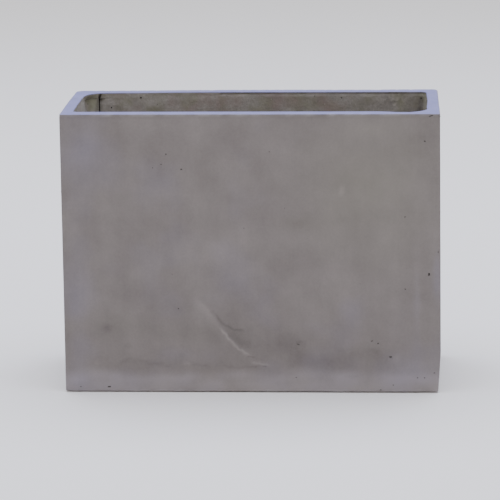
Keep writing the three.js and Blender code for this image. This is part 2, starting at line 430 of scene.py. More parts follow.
def plan_ring(half_x, half_y, radii, inset, z):
    arcs = []
    for corner, (side_x, side_y) in enumerate(CORNER_SIGNS):
        radius = max(radii[corner] - inset, SHARPEST)
        centre = Vector((side_x * (half_x - inset - radius), side_y * (half_y - inset - radius), z))
        turns = [math.pi + (corner + step / ARC_STEPS) * math.pi / 2 for step in range(ARC_STEPS + 1)]
        arcs.append([centre + radius * Vector((math.cos(a), math.sin(a), 0)) for a in turns])
    ring = []
    for corner, arc in enumerate(arcs):
        steps = SIDE_STEPS[corner % 2]
        following = arcs[(corner + 1) % 4][0]
        ring += arc + [arc[-1].lerp(following, step / steps) for step in range(1, steps)]
    return ring


def outer_ring(inset, z):
    return plan_ring(HALF_LENGTH, HALF_DEPTH, OUTER_RADII, inset, z)


def mouth_ring(inset, z):
    return plan_ring(MOUTH_X, MOUTH_Y, MOUTH_RADII, inset, z)


print("mouth corner radii", [round(radius / MM) for radius in MOUTH_RADII], "mm")

# %% [markdown]
# Bridging can twist rings that lie in one plane. So the rings are first stacked as a plain tower, all alike
# and well apart, and bridged there, and then each point is set in its place.

# %% Bridge rings as a tower
STOREY = 10 * MM


def add_ring(shape, points):
    verts = [shape.verts.new(point) for point in points]
    edges = [shape.edges.new(pair) for pair in zip(verts, verts[1:] + verts[:1])]
    return verts, edges


def bridge_rings(shape, rings, closed=False):
    """Bridges each ring of points to the next, and gives back the verts, edges and faces of each."""
    tower = [[Vector((p.x, p.y, level * STOREY)) for p in rings[0]] for level in range(len(rings))]
    verts, edges = zip(*(add_ring(shape, points) for points in tower))
    between = [
        bmesh.ops.bridge_loops(shape, edges=lower + upper)["faces"] for lower, upper in zip(edges, edges[1:])
    ]
    if closed:
        between.append(bmesh.ops.bridge_loops(shape, edges=edges[-1] + edges[0])["faces"])
    for ring_verts, points in zip(verts, rings):
        for vert, point in zip(ring_verts, points):
            vert.co = point
    return verts, edges, between


# %% [markdown]
# The rings climb the wall 4 mm at a time, which is fine enough for a crease or a pinhole to be modelled.
# Where two faces meet, the cement's edge is worn to a small round, so three rings turn each edge. The rings
# cross the rim, go down the lip, and come back down inside the wall, to close the casting as one solid.

# %% Lay out the rings and bridge them
EDGE_ROUND = 1.6 * MM
MOUTH_ROUND = 1.5 * MM
EDGE_STEPS = 3
RIM_STEPS = 5
LIP_STEPS = 4
COAT = 6 * MM
FLOOR = 8 * MM

edge_turns = [step / EDGE_STEPS * math.pi / 2 for step in range(EDGE_STEPS + 1)]
wall_foot = UNDERSIDE + EDGE_ROUND
wall_head = RIM - EDGE_ROUND
lip_head = RIM - MOUTH_ROUND
rings = []
for turn in edge_turns:
    rings.append(outer_ring(EDGE_ROUND * (1 - math.sin(turn)), wall_foot - EDGE_ROUND * math.cos(turn)))
wall_steps = round((wall_head - wall_foot) / GRID)
for step in range(1, wall_steps):
    rings.append(outer_ring(0, wall_foot + (wall_head - wall_foot) * step / wall_steps))
first_rim_ring = len(rings)
for turn in edge_turns:
    rings.append(outer_ring(EDGE_ROUND * (1 - math.cos(turn)), wall_head + EDGE_ROUND * math.sin(turn)))
rim_outer = outer_ring(EDGE_ROUND, RIM)
rim_inner = mouth_ring(-MOUTH_ROUND, RIM)
for step in range(1, RIM_STEPS):
    rings.append([a.lerp(b, step / RIM_STEPS) for a, b in zip(rim_outer, rim_inner)])
first_mouth_ring = len(rings)
for turn in edge_turns:
    rings.append(mouth_ring(-MOUTH_ROUND * (1 - math.sin(turn)), lip_head + MOUTH_ROUND * math.cos(turn)))
first_lip_ring = len(rings) - 1
for step in range(1, LIP_STEPS + 1):
    rings.append(mouth_ring(0, lip_head + (LAY_UP_TOP - lip_head) * step / LIP_STEPS))
last_lip_ring = len(rings) - 1
rings += [outer_ring(COAT, LAY_UP_TOP), outer_ring(COAT, UNDERSIDE + FLOOR)]

shell = new_shape()
ring_verts, ring_edges, between = bridge_rings(shell, rings)
for faces in between[first_lip_ring:]:
    for face in faces:
        face.material_index = 1
print(len(rings), "rings bridged into", len(shell.faces), "faces")

# %% [markdown]
# Its underside and inner floor are flat plates, each filled in one go between its outline and its holes.
# The two drain holes go right through, and four shallow round seats in the underside take the foot pads.

# %% Close the underside and the floor
HOLE_STEPS = 48
SEAT_DEPTH = 1.8 * MM


def circle(shape, x, y, z, radius):
    made = bmesh.ops.create_circle(
        shape, segments=HOLE_STEPS, radius=radius, matrix=Matrix.Translation((x, y, z))
    )["verts"]
    return list(dict.fromkeys(edge for vert in made for edge in vert.link_edges))


def middle_and_radius(node):
    low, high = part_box(node)
    return (low + high) / 2, (high.x - low.x) / 2


underside_edges = list(ring_edges[0])
floor_edges = list(ring_edges[-1])
for side in ("left", "right"):
    middle, radius = middle_and_radius(f"drain_sleeve_{side}")
    below = circle(shell, middle.x, middle.y, UNDERSIDE, radius + GAP)
    above = circle(shell, middle.x, middle.y, UNDERSIDE + FLOOR, radius + GAP)
    bmesh.ops.bridge_loops(shell, edges=below + above)
    underside_edges += below
    floor_edges += above
    for end in ("front", "back"):
        middle, radius = middle_and_radius(f"foot_pad_{end}_{side}")
        mouth = circle(shell, middle.x, middle.y, UNDERSIDE, radius + GAP)
        seat = circle(shell, middle.x, middle.y, UNDERSIDE + SEAT_DEPTH, radius + GAP)
        bmesh.ops.bridge_loops(shell, edges=mouth + seat)
        bmesh.ops.triangle_fill(shell, edges=seat, use_beauty=True)
        underside_edges += mouth
bmesh.ops.triangle_fill(shell, edges=underside_edges, use_beauty=True)
bmesh.ops.triangle_fill(shell, edges=floor_edges, use_beauty=True)
bmesh.ops.recalc_face_normals(shell, faces=shell.faces)
open_edges = sum(not edge.is_manifold for edge in shell.edges)
print("the shell has", len(shell.faces), "faces and", open_edges, "open edges")

# %% [markdown]
# ## Relief on the cast face
#
# A mould is never quite flat, and a casting never fills it quite evenly. Long shallow waves run over the
# walls, the right end leans in by a few millimetres at its rim, and the lowest stretch of the front right
# edge draws in. All of it only ever sinks below the true face, so the planter keeps its size.

# %% Waves, the lean and the drawn-in edge
END_LEAN = 3.6 * MM
EDGE_DRAW = 4.2 * MM
EDGE_DRAW_HEIGHT = 65 * MM
EDGE_DRAW_WIDTH = 60 * MM
EDGE_DRAW_WAY = Vector((-1, 0.3, 0))
EDGE_CHIP = 0.7 * MM
WAVE_LENGTH = 170 * MM
WAVE_DEPTH = 0.3 * MM
RIPPLE_LENGTH = 36 * MM
RIPPLE_DEPTH = 0.12 * MM


def smooth(low, high, value):
    share = min(max((value - low) / (high - low), 0), 1)
    return share * share * (3 - 2 * share)


def sink(point):
    """How far the casting lies below its mould's true face, in metres."""
    wave = WAVE_DEPTH * (1 - noise.noise(point / WAVE_LENGTH))
    ripple = RIPPLE_DEPTH * (1 - noise.noise(point / RIPPLE_LENGTH + Vector((5, 0, 0))))
    return wave + ripple


def lean(point):
    """How far a point towards the right end leans in: nothing at the foot, and most at the rim."""
    return Vector((-END_LEAN * max(point.x, 0) / HALF_LENGTH * point.z / RIM, 0, 0))


def drawn_in(point):
    """How far the foot of the front right edge draws in."""
    low = max(1 - (point.z - UNDERSIDE) / EDGE_DRAW_HEIGHT, 0)
    front_share = smooth(0, -HALF_DEPTH, point.y)
    right_share = smooth(HALF_LENGTH - EDGE_DRAW_WIDTH, HALF_LENGTH, point.x)
    return low * front_share * right_share * EDGE_DRAW * EDGE_DRAW_WAY


print("the face sinks", round(sink(Vector((0, -HALF_DEPTH, 0.2))) / MM, 2), "mm at its middle")

# %% [markdown]
# Patches that belong to one place are written down as marks. A real maker would know them by sight: a bloom
# in the middle of the front, dark patches near its top corners, a dark band low down, and a pale tide along
# its foot. The left edge and the foot have a bluish cast, and the upper right an olive one.

# %% Marks on the front
# Each is x, z, half width and half height in millimetres, then how pale (+) or dark (-) and how cool (+) or
# warm (-)
FRONT_MARKS = [
    (-42, 231, 45, 32, 0.5, 0.1),
    (-60, 240, 11, 9, 0.4, 0),
    (-12, 247, 9, 7, 0.3, 0),
    (-118, 196, 40, 26, -0.2, 0),
    (69, 275, 28, 10, -0.55, -0.2),
    (141, 281, 9, 7, -0.45, 0),
    (272, 410, 17, 9, -0.55, 0),
    (-278, 405, 15, 12, -0.4, 0),
    (128, 174, 30, 60, 0.35, 0),
    (150, 145, 20, 20, 0.25, 0.05),
    (190, 425, 32, 11, 0.3, -0.2),
    (262, 175, 6, 85, 0.35, 0.1),
    (294, 200, 7, 70, 0.2, 0.15),
    (-220, 110, 60, 26, -0.3, -0.2),
    (-100, 96, 70, 22, -0.45, -0.2),
    (-14, 100, 40, 20, -0.5, 0),
    (44, 78, 50, 26, -0.6, -0.1),
    (118, 50, 62, 18, -0.7, 0),
    (200, 66, 46, 12, -0.3, 0),
    (-231, 106, 7, 6, -0.6, 0.2),
    (-199, 76, 6, 5, -0.5, 0),
    (-275, 120, 30, 170, 0, 0.16),
    (-225, 20, 70, 24, 0.1, 0.1),
    (-220, 400, 90, 50, 0, 0.1),
    (190, 330, 110, 110, 0.1, -0.6),
    (262, 32, 56, 26, 0.4, 0.1),
]
PALE_FOOT = 36 * MM
FOOT_WANDER = 9 * MM
FOOT_SOFT_BELOW = 16 * MM
FOOT_SOFT_ABOVE = 8 * MM
FOOT_PALER = 1.5
FOOT_COOLER = 0.1


def front_marks(x, z):
    """How pale and how cool the front is at a place."""
    pale = 0
    cool = 0
    for middle_x, middle_z, half_x, half_z, paler, cooler in FRONT_MARKS:
        away = ((x / MM - middle_x) / half_x) ** 2 + ((z / MM - middle_z) / half_z) ** 2
        share = math.exp(-away)
        pale += paler * share
        cool += cooler * share
    wander = FOOT_WANDER * noise.noise(Vector((x / (55 * MM), 0, 0)))
    patchy = 1 + 0.5 * noise.noise(Vector((x / (40 * MM), 3, z / (14 * MM))))
    foot = patchy * (1 - smooth(PALE_FOOT - FOOT_SOFT_BELOW, PALE_FOOT + FOOT_SOFT_ABOVE, z + wander))
    return pale + FOOT_PALER * foot, cool + FOOT_COOLER * foot


print("the bloom in the middle is", round(front_marks(-0.042, 0.231)[0], 2), "paler")

# %% [markdown]
# Thinner marks follow a path. The crease is where one batch of the mix met the next: a little proud, with
# a painted highlight along its left side and a painted shadow, a dark line, that springs from its right. A
# dark hairline bounds the pale foot, and a few short dashes lie about. Each path is a few points, with how
# far its mark spreads to the left and to the right.

# %% Strokes on the front
# Each is its points, left spread and right spread in millimetres, how pale, and how far it rises; on the
# crease, how pale is painted highlight where positive and painted shadow where negative
STROKES = [
    # The first five are the crease and its dark branches, with their painted highlight and painted shadow
    ([(-88, 152), (-72, 137), (-60, 118), (-43, 97), (-32, 83)], 9, 2.5, 0.7, 0.15),
    ([(-50, 105), (-43, 97), (-32, 83), (-20, 70), (-2, 61)], 2.6, 1.4, 1.5, 0.3),
    ([(-2, 49), (12, 48), (26, 45)], 2.5, 2.5, 1.1, 0.2),
    ([(-62, 133), (-46, 112), (-30, 104), (-14, 101)], 2, 1.6, -0.8, -0.2),
    ([(-36, 101), (-22, 82), (2, 74)], 6, 8, -0.55, -0.2),
    ([(-8, 60), (4, 58)], 1.5, 1.5, -0.9, 0),
    ([(16, 44), (23, 43)], 1.5, 1.5, -1.2, -0.2),
    ([(-215, 45), (-198, 55), (-155, 47), (-128, 43)], 3, 3, -0.5, 0),
    ([(-98, 47), (-70, 43)], 2, 3, -0.5, 0),
    ([(-48, 44), (-22, 41), (10, 43)], 2, 2, -0.5, 0),
    ([(-112, 49), (-100, 48)], 2, 2, 0.6, 0),
    ([(-250, 50), (-246, 45)], 3, 3, 0.5, 0),
    ([(143, 333), (141, 321)], 3.5, 3.5, 1.1, 0),
    ([(70, 84), (86, 80)], 3, 3, -0.6, 0),
    ([(186, 71), (200, 69)], 2.5, 2.5, -0.4, 0),
    ([(152, 28), (172, 26)], 2, 2, -0.5, 0),
    ([(232, 62), (226, 50)], 5, 5, 0.4, 0),
]
FADE = 0.12  # the share of a stroke over which each of its ends fades
# How far a stroke's ragged edge strays, and over what distance, in millimetres
STROKE_WANDER = 1.8
STROKE_RAG = 7
STROKE_SEED = 44  # noise_vector is seeded by the clock unless it is given a seed
noise.seed_set(STROKE_SEED)


def stroke_marks(x, z):
    """How pale a place is made by the strokes, with the crease's painted highlight and shadow, and how far it
    rises, in metres.
    """
    pale = 0
    rise = 0
    ragged = noise.noise_vector(Vector((x, 0, z)) / (STROKE_RAG * MM))
    here = Vector((x, z)) / MM + STROKE_WANDER * Vector((ragged.x, ragged.z))
    for points, left, right, paler, height in STROKES:
        path = [Vector(point) for point in points]
        nearest = None
        for index, (start, end) in enumerate(zip(path, path[1:])):
            along = end - start
            share = min(max((here - start).dot(along) / along.length_squared, 0), 1)
            away = here - (start + share * along)
            if nearest is None or away.length < nearest[0]:
                nearest = (away.length, along.cross(away), (index + share) / (len(path) - 1))
        distance, side, covered = nearest
        spread = left if side < 0 else right
        full = 0.4 + 0.6 * smooth(0, FADE, min(covered, 1 - covered))
        amount = full * math.exp(-((distance / spread) ** 2))
        pale += paler * amount
        rise += height * MM * amount
    return pale, rise


print("the crease is", round(stroke_marks(-0.032, 0.083)[0], 2), "paler at its kink")

# %% [markdown]
# The mouth is struck off by hand, so its edge wanders. It swings out near the front right corner, fills in
# a little at the back left one, and the rim dips by a millimetre there. The whole rim is painted paler and
# bluish in uneven patches, as painted light from the cool overhead sky on its top. The rough surfaces inside
# share one relief, so that lip, lay-ups and fillets run into each other as they do on the real wall.

# %% Relief of the rough inside
RIM_DIP = 1.2 * MM
FRONT_BOW = 1.5 * MM
# How much the rim's top is painted cooler and paler, as painted skylight, and the sizes of its uneven patches
RIM_COOL = 1.6
RIM_PALE = 0.5
RIM_CLOUD = 45 * MM
RIM_SPECKLE = 16 * MM
LUMP_LENGTH = 30 * MM
LUMP_HEIGHT = 1.1 * MM
DRAG_LENGTH = 110 * MM
DRAG_WIDTH = 9 * MM
DRAG_HEIGHT = 0.5 * MM
JOINT_X = (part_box("corner_fillet_back_left")[1].x + board_low.x) / 2
# Each is where the mouth's edge moves, how far that reaches, and which way it goes
MOUTH_MOVES = [
    (Vector((0.242, -MOUTH_Y)), 24 * MM, Vector((0, -8, 0)) * MM),
    (Vector((0.277, -0.06)), 30 * MM, Vector((-2, 0, 0)) * MM),
    (Vector((-0.272, 0.090)), 20 * MM, Vector((5, -4, 0)) * MM),
]
LIP_DEPTH = 14 * MM


def trowelled(point):
    """How far a laid surface stands proud of its true face, into the mouth, in metres."""
    lumps = noise.fractal(point / LUMP_LENGTH, 0.7, 2.2, 4)
    drag = noise.noise(Vector((point.x / DRAG_LENGTH, point.y / DRAG_LENGTH, point.z / DRAG_WIDTH)))
    return LUMP_HEIGHT * lumps + DRAG_HEIGHT * drag


def mouth_move(point):
    """How the struck edge of the mouth wanders, which dies away down the wall."""
    depth = smooth(0, 1, (RIM - point.z) / LIP_DEPTH)
    if depth == 1:
        return Vector((0, 0, 0))
    move = lean(point) + FRONT_BOW * smooth(0, -MOUTH_Y, point.y) * Vector((0, 1, 0))
    for place, reach, way in MOUTH_MOVES:
        away = Vector((point.x, point.y)) - place
        move += way * math.exp(-away.length_squared / reach**2)
    return move * (1 - depth)


def rim_skylight_paint(point):
    """How cool and how pale the rim is painted: painted cool skylight on its top, in uneven patches."""
    cooler = RIM_COOL + 0.6 * noise.noise(point / RIM_CLOUD)
    paler = RIM_PALE + 1.6 * noise.noise(point / RIM_SPECKLE)
    return cooler, paler


def rim_dip(point):
    share = smooth(-0.05, -HALF_LENGTH, point.x) * smooth(0, HALF_DEPTH, point.y)
    return Vector((0, 0, -RIM_DIP * share))


print("the mouth swings out by", round(-mouth_move(Vector((0.242, -MOUTH_Y, RIM))).y / MM, 1), "mm")

# %% [markdown]
# The rough inside is painted with light and shade: a painted shadow runs down its back right corner, and
# painted light makes the fillet beside the open joint, the left wall and the right end wall paler. The joint
# runs down beside the back left fillet, and the lip cracked along it. A crumbly patch near the right end is
# mottled light and dark.

# %% Paint for the rough inside
DARKER_FROM = -0.2
DARKER_TO = 0.15
# The painted shadow down the back right inside corner: its width, and where it lies
CORNER_WIDTH = 4 * MM
CORNER_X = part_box("corner_fillet_back_right")[0].x - CORNER_WIDTH
ROUGH_PATCH = Vector((0.227, MOUTH_Y, 0.437))
ROUGH_REACH = 15 * MM
CRUMB = 5 * MM


def inside_tone(point):
    # Painted light makes the back left fillet beside the joint, and the left wall, paler
    end_pale = 0.9 * smooth(JOINT_X, JOINT_X - 4 * MM, point.x)
    end_pale -= 0.4 * smooth(JOINT_X - 12 * MM, -MOUTH_X, point.x)
    to_the_right = 0.15 - 0.4 * smooth(DARKER_FROM, DARKER_TO, point.x)
    from_patch = (point - ROUGH_PATCH).length / ROUGH_REACH
    rough_patch = 2.5 * noise.noise(point / CRUMB) * math.exp(-(from_patch**2))
    # Painted shadow down the back right corner
    corner = -0.9 * math.exp(-(((point.x - CORNER_X) / CORNER_WIDTH) ** 2)) if point.y > 0 else 0
    return end_pale + to_the_right + corner + rough_patch


def painted_pale_light(point):
    """How much painted light makes the right end wall, and the fillet beside the open joint at the left,
    paler.
    """
    at_end = 0.65 * smooth(CORNER_X + 2 * MM, MOUTH_X, point.x)
    past_joint = smooth(JOINT_X - MM, JOINT_X - 6 * MM, point.x)
    return at_end + 0.3 * past_joint * smooth(-MOUTH_X, JOINT_X - 10 * MM, point.x)


print("the corner line is", round(inside_tone(Vector((CORNER_X, MOUTH_Y, RIM))), 2), "paler")

# %% [markdown]
# All of this is now worked into the shell's points: walls, then rim, then lip.

# %% Work the relief into the walls and the rim
FRONT_FROM = EDGE_ROUND + MM - HALF_DEPTH  # points with a smaller Y than this lie on the front
RUB_LENGTH = 13 * MM
CHIP_LENGTH = 7 * MM
tone, cool, painted_shade, wear_and_painted_light = painted_layers(shell, *PAINTED)
shell.normal_update()
shift = {}
for index, ring in enumerate(ring_verts[:first_mouth_ring]):
    for vert in ring:
        shift[vert] = -vert.normal * sink(vert.co) + lean(vert.co)
        on_edge = index <= EDGE_STEPS or first_rim_ring <= index <= first_rim_ring + EDGE_STEPS
        if on_edge:
            rub = noise.noise(vert.co / RUB_LENGTH)
            vert[wear_and_painted_light] = 0.35 * max(rub + 0.2, 0)
            shift[vert] -= vert.normal * EDGE_CHIP * max(noise.noise(vert.co / CHIP_LENGTH), 0)
        if index < first_rim_ring:
            shift[vert] += drawn_in(vert.co)
        else:
            shift[vert] += rim_dip(vert.co)
        # The rim's top is painted with cool skylight
        if index > first_rim_ring + 1:
            vert[cool], vert[tone] = rim_skylight_paint(vert.co)
        if index in (first_rim_ring - 1, first_rim_ring):
            vert[tone] -= 0.3
        if vert.co.y < FRONT_FROM and index <= first_rim_ring + 1:
            pale, cooler = front_marks(vert.co.x, vert.co.z)
            vert[tone] += pale
            vert[cool] += cooler
print(len(shift), "points of walls and rim")

# %% Work the relief into the mouth and the lip
LIP_SINK = 0.3 * MM
LIP_ROUGH_FROM = 6 * MM  # from this far below the rim the lip is as rough as the boards
CRACK_WIDTH = 1.9 * MM
CRACK_DEPTH = 6 * MM
SHADOW_FROM = -0.06  # from here to the right the back lip is slightly undercut
UNDERCUT_LEVEL = RIM - 3 * MM
UNDERCUT_HALF = 1.5 * MM
UNDERCUT_DEPTH = 1 * MM
UNDERCUT_SHADE = 0.45
for index, ring in enumerate(ring_verts[first_mouth_ring : last_lip_ring + 1]):
    for vert in ring:
        depth = smooth(0, LIP_ROUGH_FROM, RIM - vert.co.z)
        out = Vector((vert.normal.x, vert.normal.y, 0)).normalized()
        move = (0.4 + 0.6 * depth) * trowelled(vert.co) * out + mouth_move(vert.co) + rim_dip(vert.co)
        move.z -= LIP_SINK
        # The lip takes the inside's painted light and painted shadow
        vert[tone] = inside_tone(vert.co)
        vert[wear_and_painted_light] = painted_pale_light(vert.co) * depth
        # The round at the mouth's edge takes the rim's painted skylight too
        if index <= EDGE_STEPS - 1:
            vert[cool], vert[tone] = rim_skylight_paint(vert.co)
        # The lip's crack along the joint is pushed in and painted with shade
        if abs(vert.co.x - JOINT_X) < CRACK_WIDTH and vert.co.y > 0:
            move.y += CRACK_DEPTH * depth
            vert[painted_shade] = 0.75 * depth
        # Painted shadow under the slightly undercut back of the rim
        undercut = math.exp(-(((UNDERCUT_LEVEL - vert.co.z) / UNDERCUT_HALF) ** 2))
        if vert.co.y > 0 and vert.co.x > SHADOW_FROM:
            move.y += UNDERCUT_DEPTH * undercut
            vert[painted_shade] = max(vert[painted_shade], UNDERCUT_SHADE * undercut)
        shift[vert] = move
for vert, move in shift.items():
    place = vert.co + move
    place.y = max(place.y, -HALF_DEPTH)
    vert.co = place
print("the shell's relief is worked in")

# %% [markdown]
# The crease and its neighbours are thinner than the grid, so the faces around them are cut into smaller
# ones before the strokes are worked in.

# %% Work in the strokes
CREASE_LOW = Vector((-106, 34)) * MM
CREASE_HIGH = Vector((38, 166)) * MM
CREASE_CUTS = 2

around_crease = []
for face in shell.faces:
    middle = face.calc_center_median()
    inside = CREASE_LOW.x < middle.x < CREASE_HIGH.x and CREASE_LOW.y < middle.z < CREASE_HIGH.y
    if inside and middle.y < COAT / 2 - HALF_DEPTH:
        around_crease.append(face)
crease_edges = list(dict.fromkeys(edge for face in around_crease for edge in face.edges))
bmesh.ops.subdivide_edges(shell, edges=crease_edges, cuts=CREASE_CUTS, use_grid_fill=True)
print(len(around_crease), "faces cut finer, which leaves", len(shell.faces))

(tone,) = painted_layers(shell, "tone")
for vert in shell.verts:
    if vert.co.y < COAT / 2 - HALF_DEPTH and wall_foot < vert.co.z < wall_head:
        pale, rise = stroke_marks(vert.co.x, vert.co.z)
        # The crease's painted highlight and shadow go into the tone
        vert[tone] += pale
        vert.co.y = max(vert.co.y - rise, -HALF_DEPTH)

# %% [markdown]
# The larger pinholes are modelled, because they show as holes from any side. One or two grid faces are
# inset and drawn to the hole's own width and height, turned a little, and then inset once more and pushed
# in. The front's holes have their own places. The other sides get a handful each, scattered by a seeded
# random generator.

# %% Press in the pinholes
# Each is x, z, width and height in millimetres
FRONT_PITS = [
    (-133, 387, 2.2, 1.8),
    (-110, 363, 2.8, 2.1),
    (-141, 369, 1.8, 1.6),
    (272, 407, 2.8, 2.1),
    (242, 285, 1.8, 1.8),
    (281, 194, 3.2, 5.2),
    (244, 169, 2.2, 1.8),
    (190, 84, 3.2, 1.6),
    (201, 82, 3.0, 1.6),
    (219, 58, 5.8, 2.3),
    (204, 7, 2.0, 2.1),
    (224, 13, 1.8, 1.8),
    (262, 24, 2.0, 1.8),
    (274, 26, 2.2, 1.6),
    (287, 32, 2.5, 1.6),
    (-228, 9, 5.2, 2.3),
    (-277, 10, 1.8, 1.8),
    (-116, 137, 2.0, 1.8),
    (73, 78, 5.8, 1.8),
    (69, 24, 2.0, 1.6),
    (282, 446, 6.2, 1.8),
    (294, 446, 5.8, 1.8),
    (293, 231, 1.8, 3.1),
]
PIT_DEPTH = 1.0 * MM
PIT_BOTTOM = 0.8
PIT_INSET = 0.1 * MM
WIDE_PIT = 3 * MM
INTO_WALL = {
    "front": Vector((0, 1, 0)),
    "back": Vector((0, -1, 0)),
    "left": Vector((1, 0, 0)),
    "right": Vector((-1, 0, 0)),
}
shuffle = random.Random(11)
shell.normal_update()


def faces_of_side(inward):
    """The grid faces of one outer wall, with their middles."""
    found = {}
    level = HALF_DEPTH if abs(inward.y) > 0.5 else HALF_LENGTH
    for face in shell.faces:
        if face.normal.dot(inward) < -0.95 and len(face.verts) == 4 and face.material_index == 0:
            middle = face.calc_center_median()
            if middle.dot(inward) < 2 * COAT - level:
                found[face] = middle
    return found


def press_pit(candidates, place, inward, width, height):
    """Insets the nearest face twice: to the hole's mouth, and then to its smaller bottom."""
    ranked = sorted(candidates, key=lambda face: (candidates[face] - place).length)
    chosen = ranked[: 2 if max(width, height) > WIDE_PIT else 1]
    for face in chosen:
        del candidates[face]
    across = Vector((0, 0, 1)).cross(inward)
    slant = shuffle.uniform(-0.35, 0.35)
    # The bottom of each pressed hole is painted with shade
    dark = shuffle.uniform(0.75, 1)
    for share, depth in ((1, 0), (PIT_BOTTOM, PIT_DEPTH * shuffle.uniform(0.7, 1))):
        bmesh.ops.inset_region(shell, faces=chosen, thickness=PIT_INSET, use_even_offset=True)
        inner = list(dict.fromkeys(vert for face in chosen for vert in face.verts))
        centre = sum((vert.co for vert in inner), Vector()) / len(inner)
        half_width = max(abs((vert.co - centre).dot(across)) for vert in inner)
        half_height = max(abs(vert.co.z - centre.z) for vert in inner)
        for vert in inner:
            u = (vert.co - centre).dot(across) / half_width * share * width / 2
            v = (vert.co.z - centre.z) / half_height * share * height / 2
            vert.co += across * (u - (vert.co - centre).dot(across)) + inward * depth
            vert.co.z = centre.z + v + slant * (u if depth == 0 else 0)
            vert[painted_shade] = dark if depth > 0 else 0


front_faces = faces_of_side(INTO_WALL["front"])
for x, z, width, height in FRONT_PITS:
    press_pit(front_faces, Vector((x * MM, -HALF_DEPTH, z * MM)), INTO_WALL["front"], width * MM, height * MM)
for side, count in (("back", 22), ("left", 9), ("right", 9)):
    inward = INTO_WALL[side]
    side_faces = faces_of_side(inward)
    for _ in range(count):
        place = shuffle.choice(list(side_faces.values()))
        width = shuffle.uniform(1.4, 4.2) * MM
        press_pit(side_faces, place, inward, width, min(width, shuffle.uniform(1.2, 2) * MM))
make_piece("cast_shell", shell, [cast_cement, laid_cement], ["face_shell"])

# %% [markdown]
# ## The laid boards
#
# Behind the cast face each wall is backed by one slab of coarse mix, pressed on between the corners. Only
# the face towards the soil is rough. So that face is a fine grid with the relief in it, and its outline is
# extruded back to the wall and closed there with one flat face.

# %% Lay the four boards
JOINT_SHADE = 0.5
JOINT_FILLED = 1.2 * MM  # how far the back board has spread into the open joint
# The crumbled spot beside the open joint is pressed in, and its dark is painted shade
CHIP = Vector((JOINT_X + 2.2 * MM, 0.437))  # a crumbled spot beside the open joint, just under the rim
CHIP_REACH = 3.2 * MM
CHIP_DEPTH = 3 * MM


def laid_board(node, inward):
    low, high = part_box(node)
    size = high - low
    up = Vector((0, 0, 1))
    across = up.cross(inward)
    width = abs(size.dot(across))
    thickness = abs(size.dot(inward))
    face_middle = (low + high) / 2 + inward * thickness / 2
    turn = Matrix((across * width, up * size.z, inward)).transposed().to_4x4()
    shape = new_shape()
    tone, painted_shade, wear_and_painted_light = painted_layers(shape, "tone", "painted_shade", "wear_and_painted_light")
    grid = bmesh.ops.create_grid(
        shape,
        x_segments=round(width / GRID),
        y_segments=round(size.z / GRID),
        size=0.5,
        matrix=Matrix.Translation(face_middle) @ turn,
    )["verts"]
    outline = [edge for edge in shape.edges if edge.is_boundary]
    skirt = bmesh.ops.extrude_edge_only(shape, edges=outline)["geom"]
    back = [item for item in skirt if isinstance(item, bmesh.types.BMVert)]
    bmesh.ops.translate(shape, verts=back, vec=-inward * thickness)
    bmesh.ops.holes_fill(shape, edges=shape.edges)
    for vert in grid:
        from_joint = vert.co.x - low.x
        # The board takes the inside's painted light and painted shadow
        vert[tone] = inside_tone(vert.co)
        vert[wear_and_painted_light] = painted_pale_light(vert.co)
        move = trowelled(vert.co) * inward
        # Painted shade down the open joint and in the crumbled spot
        if node == "backing_back":
            if from_joint < GRID / 2:
                vert[painted_shade] = JOINT_SHADE
                move.x -= JOINT_FILLED
            chip = math.exp(-((Vector((vert.co.x, vert.co.z)) - CHIP).length / CHIP_REACH) ** 2)
            vert[painted_shade] = max(vert[painted_shade], chip)
            move -= CHIP_DEPTH * chip * inward
        vert.co += move
    bmesh.ops.recalc_face_normals(shape, faces=shape.faces)
    make_piece(node.replace("backing", "laid_backing"), shape, [laid_cement], [node])


for side, inward in INTO_WALL.items():
    laid_board(f"backing_{side}", inward)

# %% [markdown]
# ## The corner fillets
#
# In each inside corner the mix was drawn round with a thumb or a bottle, which leaves a hollow upright
# quarter round. An upright line of points is spun a quarter turn about the middle of that round. The sheet
# that this makes is then extruded, and its new face is pushed out flat against the shell's two walls.

# %% Draw the four fillets
SOFT_SIDE = 3 * MM  # how far the shade of the open joint reaches over the back left fillet
CRACK_LEAN = 0.17  # how far the crack strays sideways for each metre down
CRACK_REACH = 60 * MM
TINY = 1e-6  # keeps a division from failing


